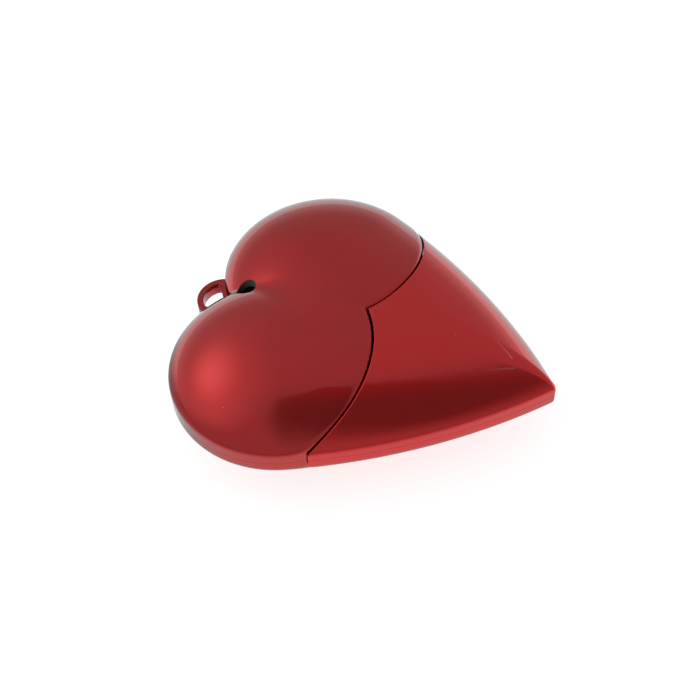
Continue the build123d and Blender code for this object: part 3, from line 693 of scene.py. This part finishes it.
def solder_mask(name):
    """Green solder mask over copper tracks, which show as paler raised lines."""
    made, tree, shader, at = material(name, Coat_Weight=0.4, Coat_Roughness=0.15)
    inputs = {"Vector": at, "Scale": 1 / (TRACK_SPACING * MM), "Randomness": TRACK_DISORDER}
    tracks = node(tree, "ShaderNodeTexVoronoi", inputs, distance="MANHATTAN", feature="DISTANCE_TO_EDGE")
    line = ramp(tree, tracks.outputs["Distance"], *TRACK_EDGE, 1.0, 0.0)
    mask = blend(tree, ramp(tree, noise(tree, at, MASK_CLOUDS), *SOFT), *MASK_GREEN)
    gloss = ramp(tree, noise(tree, at, MASK_GRAIN), *SOFT, *MASK_ROUGHNESS)
    feed(tree, shader, Base_Color=blend(tree, line, mask, TRACK_GREEN), Roughness=gloss)
    bump(tree, shader, line, TRACK_HEIGHT)
    return made


# Resistors and capacitors
TERMINAL_LENGTH = 0.35
CERAMIC_GRAIN = 0.08
CERAMIC_DEPTH = 0.008
CERAMIC_ROUGHNESS = (0.35, 0.5)


def tinned_ends(name, shades, solid):
    """Ceramic bodies with tinned metal at both ends, told apart by their place across the row."""
    made, tree, shader, at = material(name)
    low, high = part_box(solid)
    across = node(tree, "ShaderNodeSeparateXYZ", {"Vector": at}).outputs["Y"]
    off_middle = math(tree, "ABSOLUTE", math(tree, "SUBTRACT", across, (low.y + high.y) / 2))
    end = math(tree, "GREATER_THAN", off_middle, (high.y - low.y) / 2 - TERMINAL_LENGTH * MM)
    grain = noise(tree, at, CERAMIC_GRAIN, detail=3.0)
    ceramic = blend(tree, ramp(tree, grain, *CLEAR), *shades)
    gloss = ramp(tree, grain, *SOFT, *CERAMIC_ROUGHNESS)
    feed(tree, shader, Base_Color=blend(tree, end, ceramic, TIN_GREY), Metallic=end, Roughness=gloss)
    bump(tree, shader, grain, CERAMIC_DEPTH)
    return made


# Status light: the lens starts between two shares of its height, and light spreads a little in it
LENS_START = (0.35, 0.5)
LENS_SPREAD = (0.4, 0.4, 0.2)
PHOSPHOR_GRAIN = 0.15
RESIN_GRAIN = 0.1
RESIN_ROUGHNESS = (0.2, 0.35)


def light_resin(name):
    """Clear resin lens on a white base, with the yellow phosphor in the lens."""
    spread_radius = [size * MM for size in LENS_SPREAD]
    made, tree, shader, at = material(
        name, Subsurface_Weight=0.3, Subsurface_Radius=spread_radius, Coat_Weight=0.6
    )
    low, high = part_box("status_light")
    up = node(tree, "ShaderNodeSeparateXYZ", {"Vector": at}).outputs["Z"]
    lens = ramp(tree, up, *(low.z + (high.z - low.z) * share for share in LENS_START))
    phosphor = blend(tree, noise(tree, at, PHOSPHOR_GRAIN), *PHOSPHOR_YELLOW)
    gloss = ramp(tree, noise(tree, at, RESIN_GRAIN), *SOFT, *RESIN_ROUGHNESS)
    feed(tree, shader, Base_Color=blend(tree, lens, LIGHT_BASE_WHITE, phosphor), Roughness=gloss)
    return made


# Two pale lines near the cap's tip, each stronger towards its end
CAP_PALE_LINES = (
    Mark(start=(26.9, 2.1), end=(30.5, -0.2), width=0.26, strength=0.6),
    Mark(start=(27.6, -3.6), end=(31.2, -1.4), width=0.4, strength=0.24),
)
red_shell = lacquered_metal("red_shell", BODY_RED, roughness=0.25, scuff=0.04)
red_cap = lacquered_metal("red_cap", CAP_RED, roughness=0.25, scuff=0.04, pale_lines=CAP_PALE_LINES)
red_loop = lacquered_metal("red_loop", LOOP_RED, roughness=0.32, scuff=0.1)
shell_inside = moulded_plastic("shell_inside", INSIDE_BROWN, roughness=0.55)
dark_plastic = moulded_plastic("dark_plastic", LINER_BLACK, roughness=0.45)
insulator = moulded_plastic("insulator", INSULATOR_BLACK, roughness=0.4)
chip_black = moulded_plastic("chip_black", CHIP_BLACK, roughness=0.6)
plug_metal = drawn_metal("plug_metal", PLUG_GREY, roughness=0.22, grain=0.05, stretch=(60, 1, 1))
gold_contact = drawn_metal("gold_contact", CONTACT_GOLD, roughness=0.22, grain=0.04, stretch=(30, 1, 1))
tinned_leads = drawn_metal("tinned_leads", LEAD_GREY, roughness=0.34, grain=0.05, stretch=(1, 1, 1))
can_metal = drawn_metal("can_metal", CAN_GREY, roughness=0.24, grain=0.05, stretch=(1, 1, 20))
board = solder_mask("board")
led = light_resin("led")
resistor = tinned_ends("resistor", RESISTOR_BLACK, "resistors")
capacitor = tinned_ends("capacitor", CAPACITOR_BROWN, "capacitors")

# Shells and loop stand for their solids, and ride on the same bodies
SHARP_EDGE = radians(35)
STAND_INS = (
    (body_upper, "body_top_shell", "body", "red_shell", (red_shell, shell_inside)),
    (body_lower, "body_bottom_shell", "body", "red_shell", (red_shell, shell_inside)),
    (cap_upper, "cap_top_shell", "cap", "red_shell", (red_cap, shell_inside)),
    (cap_lower, "cap_bottom_shell", "cap", "red_shell", (red_cap, shell_inside)),
    (loop, "key_loop", "body", "red_loop", (red_loop,)),
)
for piece, solid, body, slot, finishes in STAND_INS:
    slots = piece.data.materials
    while len(slots) < len(finishes):
        slots.append(None)
    for index, finish in enumerate(finishes):
        slots[index] = finish
    piece.data.shade_smooth()
    piece.data.set_sharp_from_angle(angle=SHARP_EDGE)
    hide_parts(solid)
    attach(piece, body)

# The loop's level faces are shaded flat
LEVEL = 0.999
for face in loop.data.polygons:
    face.use_smooth = abs(face.normal.z) < LEVEL

# Every other solid keeps its shape and gets its finish
FINISHES = {
    "cap_liner": dark_plastic,
    "plug_shell": plug_metal,
    "plug_insulator": insulator,
    "contact_power": gold_contact,
    "contact_data_minus": gold_contact,
    "contact_data_plus": gold_contact,
    "contact_ground": gold_contact,
    "circuit_board": board,
    "controller_chip": chip_black,
    "memory_chip": chip_black,
    "controller_leads": tinned_leads,
    "memory_leads": tinned_leads,
    "crystal": can_metal,
    "status_light": led,
    "resistors": resistor,
    "capacitors": capacitor,
}
for solid, finish in FINISHES.items():
    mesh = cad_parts[solid].data
    mesh.materials.clear()
    mesh.materials.append(finish)
    mesh.shade_smooth()

# Camera: its lens in pixels of a square image, and its place round a point on the heart's axis
IMAGE_SIZE = 700
FOCAL_LENGTH = 1279
IMAGE_CENTRE_X = 387.7
IMAGE_CENTRE_Y = 347.6
VIEW_AZIMUTH = radians(19.8)
VIEW_ELEVATION = radians(50)
VIEW_DISTANCE = 181.0
VIEW_X = 12.57
NEAREST_VISIBLE = 1.0
view_right = Vector((cos(VIEW_AZIMUTH), sin(VIEW_AZIMUTH), 0))
view_front = Vector((sin(VIEW_AZIMUTH), -cos(VIEW_AZIMUTH), 0))
view_back = view_front * cos(VIEW_ELEVATION) + UP * sin(VIEW_ELEVATION)
lens = bpy.data.cameras.new("camera")
lens.lens = lens.sensor_width * FOCAL_LENGTH / IMAGE_SIZE
lens.shift_x = 0.5 - IMAGE_CENTRE_X / IMAGE_SIZE
lens.shift_y = IMAGE_CENTRE_Y / IMAGE_SIZE - 0.5
lens.clip_start = NEAREST_VISIBLE * MM
camera = bpy.data.objects.new("camera", lens)
bpy.context.scene.collection.objects.link(camera)
camera.location = place(VIEW_X, 0, 0) + view_back * VIEW_DISTANCE * MM
camera.rotation_euler = view_back.to_track_quat("Z", "Y").to_euler()
bpy.context.scene.camera = camera

# Surround: pale, with a dark patch to the right of the camera and a brighter far horizon
SURROUND = 0.5
DARK_PATCH = 0.175
DARK_LEFT_EDGE = (radians(9), radians(46))
DARK_RIGHT_EDGE = (radians(44), radians(70))
DARK_LOW_EDGE = (radians(-15), radians(30))
DARK_LEAN = 0.6
DARK_TOP_RIGHT = 0.03
DARK_TOP_FRONT = -0.11
HORIZON = 0.32
HORIZON_HEIGHT = radians(20)
HORIZON_FADE = (-0.6, 0.6)


def surround():
    """World that lights the object, and that the camera sees as white."""
    world = bpy.data.worlds.new("surround")
    world.use_nodes = True
    tree = world.node_tree
    way = node(tree, "ShaderNodeTexCoord").outputs["Generated"]
    rightward = math(tree, "SUBTRACT", part_along(tree, way, view_right), DARK_TOP_RIGHT)
    frontward = math(tree, "SUBTRACT", part_along(tree, way, view_front), DARK_TOP_FRONT)
    azimuth = math(tree, "ARCTAN2", rightward, frontward)
    elevation = math(tree, "ARCSINE", part_along(tree, way, UP))
    leaning = math(tree, "ADD", azimuth, math(tree, "MULTIPLY", elevation, DARK_LEAN))
    shade = ramp(tree, leaning, *DARK_LEFT_EDGE)
    shade = math(tree, "MULTIPLY", shade, ramp(tree, azimuth, *DARK_RIGHT_EDGE, 1.0, 0.0))
    shade = math(tree, "MULTIPLY", shade, ramp(tree, elevation, *DARK_LOW_EDGE))
    inputs = {"Value": shade, "To Min": SURROUND, "To Max": DARK_PATCH}
    level = node(tree, "ShaderNodeMapRange", inputs).outputs["Result"]
    glow = ramp(tree, elevation, 0.0, HORIZON_HEIGHT, HORIZON, 0.0)
    glow = math(tree, "MULTIPLY", glow, ramp(tree, frontward, *HORIZON_FADE, 1.0, 0.0))
    camera_ray = node(tree, "ShaderNodeLightPath").outputs["Is Camera Ray"]
    background = tree.nodes["Background"]
    background.inputs["Color"].default_value = WHITE
    feed(tree, background, Strength=math(tree, "MAXIMUM", math(tree, "ADD", level, glow), camera_ray))
    return world


bpy.context.scene.world = surround()

# Soft box: oval, left of the object and a little behind it, with a bright core in a dimmer skirt.
# BOX_NEAR, the point that it faces from BOX_DISTANCE, is measured from the frame's own origin
BOX_AZIMUTH = radians(-119)
BOX_ELEVATION = radians(44)
BOX_NEAR = Vector((-15.7, -17.6, 13.1))
BOX_DISTANCE = 70.0
BOX_LENGTH = 270.0
BOX_WIDTH = 210.0
BOX_RADIANCE = 0.95
BOX_MIDDLE = Vector((0.5, 0.5, 0))
BOX_HALF = 0.5
BOX_CORE = 0.15
BOX_SKIRT = 0.4
BOX_OFFSET = 0.1


def toward(azimuth, elevation):
    """Direction at an angle to the right of the camera and above the floor."""
    level = view_front * cos(azimuth) + view_right * sin(azimuth)
    return level * cos(elevation) + UP * sin(elevation)


def soft_box():
    """Lamp of that form, which the camera doesn't see."""
    lamp = bpy.data.lights.new("soft_box", "AREA")
    lamp.shape = "ELLIPSE"
    lamp.size = BOX_LENGTH * MM
    lamp.size_y = BOX_WIDTH * MM
    area = pi * lamp.size * lamp.size_y / 4
    lamp.energy = BOX_RADIANCE * pi * area
    lamp.use_nodes = True
    tree = lamp.node_tree
    on_face = node(tree, "ShaderNodeNewGeometry").outputs["Parametric"]
    off_middle = measure(tree, "DISTANCE", on_face, BOX_MIDDLE)
    core = ramp(tree, off_middle, 0.0, BOX_CORE, 1 - BOX_SKIRT, 0.0)
    off_side = measure(tree, "DISTANCE", on_face, BOX_MIDDLE + Vector((BOX_OFFSET, 0, 0)))
    skirt = ramp(tree, off_side, 0.0, BOX_HALF - BOX_OFFSET, BOX_SKIRT, 0.0)
    feed(tree, tree.nodes["Emission"], Strength=math(tree, "ADD", core, skirt))
    box = bpy.data.objects.new("soft_box", lamp)
    box.visible_camera = False
    direction = toward(BOX_AZIMUTH, BOX_ELEVATION)
    box.location = (BOX_NEAR + direction * BOX_DISTANCE) * MM
    box.rotation_euler = direction.to_track_quat("Z", "Y").to_euler()
    return box


bpy.context.scene.collection.objects.link(soft_box())

# Floor: white to the camera, with a glow in the lacquer's reflections behind the object and before it
FLOOR_SIZE = 4000.0
FLOOR_GLOW = 0.78
PAPER_GRAIN = 0.4
GLOW_BEHIND = 1.0
BEHIND_FADE = (-0.6, 0.05)
GLOW_BEFORE = 0.7
GLOW_AFAR = 0.14
GLOW_REACH = (1.0, 30.0)
BEFORE_FADE = (-0.3, 0.2)
SIDE_SLOPE = atan2(LOBE_Y + LOBE_RADIUS, TIP_REACH)
ALONG_SIDE = Vector((cos(SIDE_SLOPE), sin(SIDE_SLOPE), 0))
OFF_SIDE = Vector((sin(SIDE_SLOPE), -cos(SIDE_SLOPE), 0))
FAR_SIDE = Vector((0, 1, 0))


def floor_paper():
    """Paper that keeps the object's shadow.

    The glow before the object fades with the distance from its near side, between the lobe and the tip.
    """
    paper, tree, shader, at = material("floor_paper", Roughness=0.9, Emission_Color=WHITE)
    frontward = part_along(tree, vector(tree, "NORMALIZE", at), view_front)
    behind = ramp(tree, frontward, *BEHIND_FADE, GLOW_BEHIND, 0.0)
    beyond = ramp(tree, part_along(tree, at, FAR_SIDE), 0.0, LOBE_Y * MM, 0.0, GLOW_BEHIND)
    behind = math(tree, "MAXIMUM", behind, beyond)

    from_lobe = vector(tree, "SUBTRACT", at, place(0, -LOBE_Y, 0))
    off_side = part_along(tree, from_lobe, OFF_SIDE)
    short_of_lobe = math(tree, "MINIMUM", part_along(tree, from_lobe, ALONG_SIDE), 0.0)
    away = node(tree, "ShaderNodeCombineXYZ", {"X": off_side, "Y": short_of_lobe}).outputs["Vector"]
    near, far = [(LOBE_RADIUS + reach) * MM for reach in GLOW_REACH]
    before = ramp(tree, measure(tree, "LENGTH", away), near, far, GLOW_BEFORE, GLOW_AFAR)
    before = math(tree, "MULTIPLY", before, ramp(tree, frontward, *BEFORE_FADE))

    path = node(tree, "ShaderNodeLightPath").outputs
    straight = math(tree, "MAXIMUM", path["Is Camera Ray"], path["Is Transmission Ray"])
    seen = math(tree, "MULTIPLY", straight, FLOOR_GLOW)
    mirrored = math(tree, "MULTIPLY", path["Is Glossy Ray"], math(tree, "ADD", behind, before))
    feed(tree, shader, Base_Color=blend(tree, noise(tree, at, PAPER_GRAIN), *PAPER_GREY))
    feed(tree, shader, Emission_Strength=math(tree, "MAXIMUM", seen, mirrored))
    return paper


bpy.ops.mesh.primitive_plane_add(size=FLOOR_SIZE * MM)
floor = bpy.context.object
floor.name = "floor"
floor.data.materials.append(floor_paper())

bpy.context.scene.view_settings.view_transform = "Standard"
